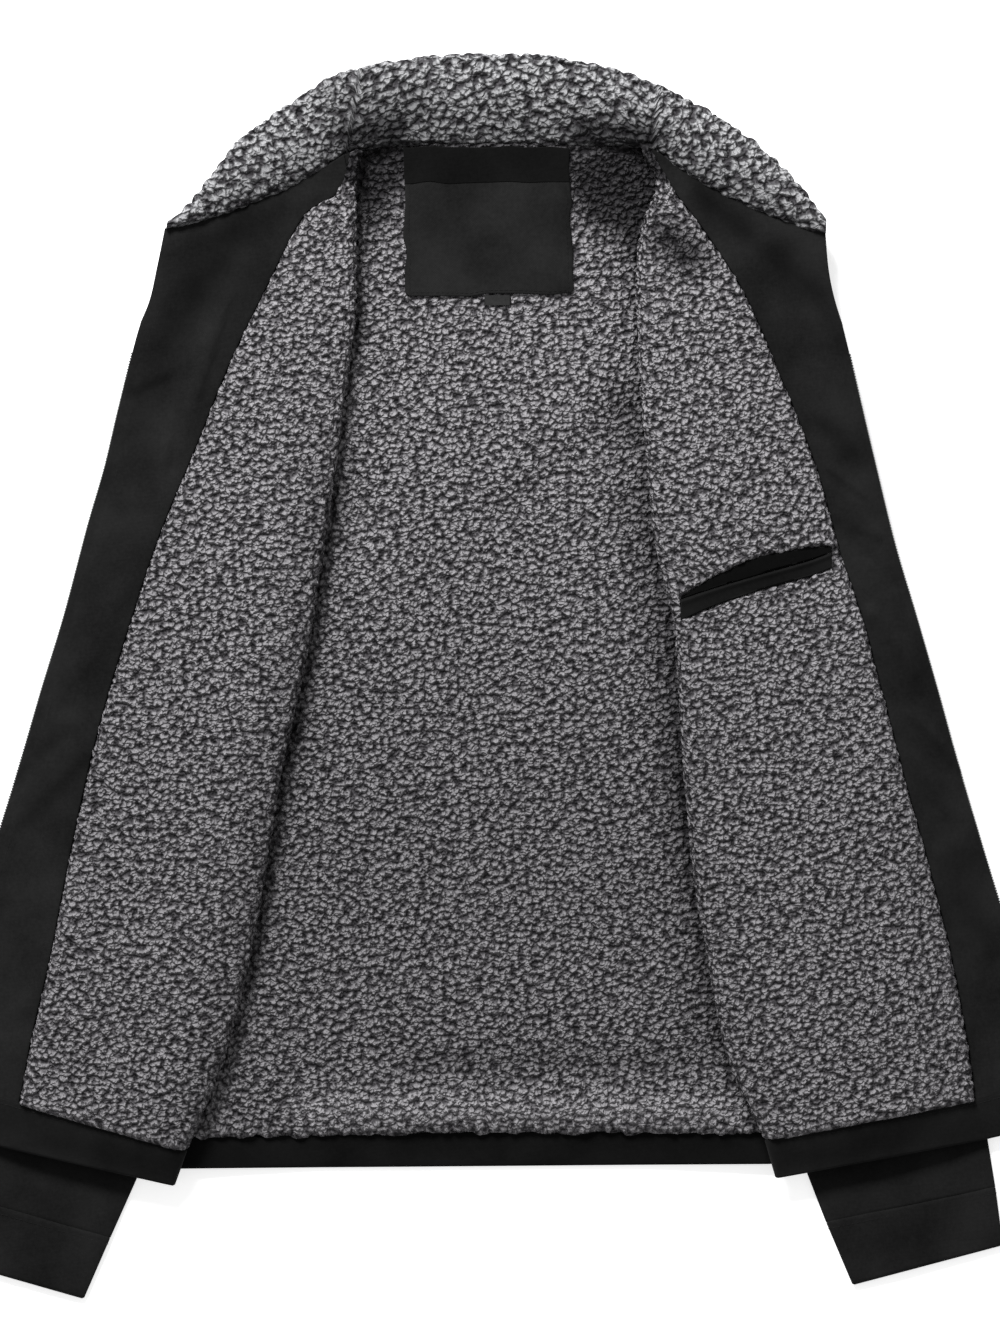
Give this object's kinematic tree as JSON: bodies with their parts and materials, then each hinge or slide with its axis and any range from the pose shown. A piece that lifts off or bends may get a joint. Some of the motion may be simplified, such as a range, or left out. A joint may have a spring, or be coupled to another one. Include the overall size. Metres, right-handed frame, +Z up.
{
  "type": "sherpa lined jacket",
  "caption": "Waist-length zip jacket laid open and flat: black canvas outside, grey sherpa lining and collar, fronts turned back, sleeves folded behind, banded hem and cuffs.",
  "frame": {"origin": "on the surface that the jacket lies on, at the middle of its laid-out outline", "axes": "+X to the wearer's left, +Y from the hem to the collar, +Z up from the surface"},
  "size_m": [0.7566, 0.8082, 0.0333],
  "materials": {
    "canvas": "black cotton canvas, matt, brushed",
    "sherpa": "heather grey sherpa fleece, curled pile in small crumbs",
    "woven_tape": "woven polyester tape",
    "zip_teeth": "moulded black zip teeth",
    "zip_metal": "die-cast zinc, black enamel"
  },
  "bodies": {
    "jacket": {"back_shell": "canvas", "back_band": "canvas", "right_front_shell": "canvas", "left_front_shell": "canvas", "right_front_facing": "canvas", "left_front_facing": "canvas", "right_front_band": "canvas", "left_front_band": "canvas", "right_sleeve": "canvas", "left_sleeve": "canvas", "right_cuff": "canvas", "left_cuff": "canvas", "under_collar": "canvas", "neck_patch": "canvas", "pocket_facing": "canvas", "pocket_welt": "canvas", "back_lining": "sherpa", "right_front_lining": "sherpa", "left_front_lining": "sherpa", "collar": "sherpa", "right_zip_tape": "woven_tape", "left_zip_tape": "woven_tape", "size_tab": "woven_tape", "right_zip_teeth": "zip_teeth", "left_zip_teeth": "zip_teeth", "zip_box": "zip_metal", "zip_pin": "zip_metal", "zip_slider": "zip_metal"},
    "pull": {"pull_tab": "zip_metal"}
  },
  "joints": [
    {"name": "pull_swing", "type": "hinge", "parent": "jacket", "child": "pull", "pos_m": [-0.3686, -0.27479, 0.00482], "axis": [0.9615, -0.2747, 0], "range_deg": [-6, 160]}
  ]
}
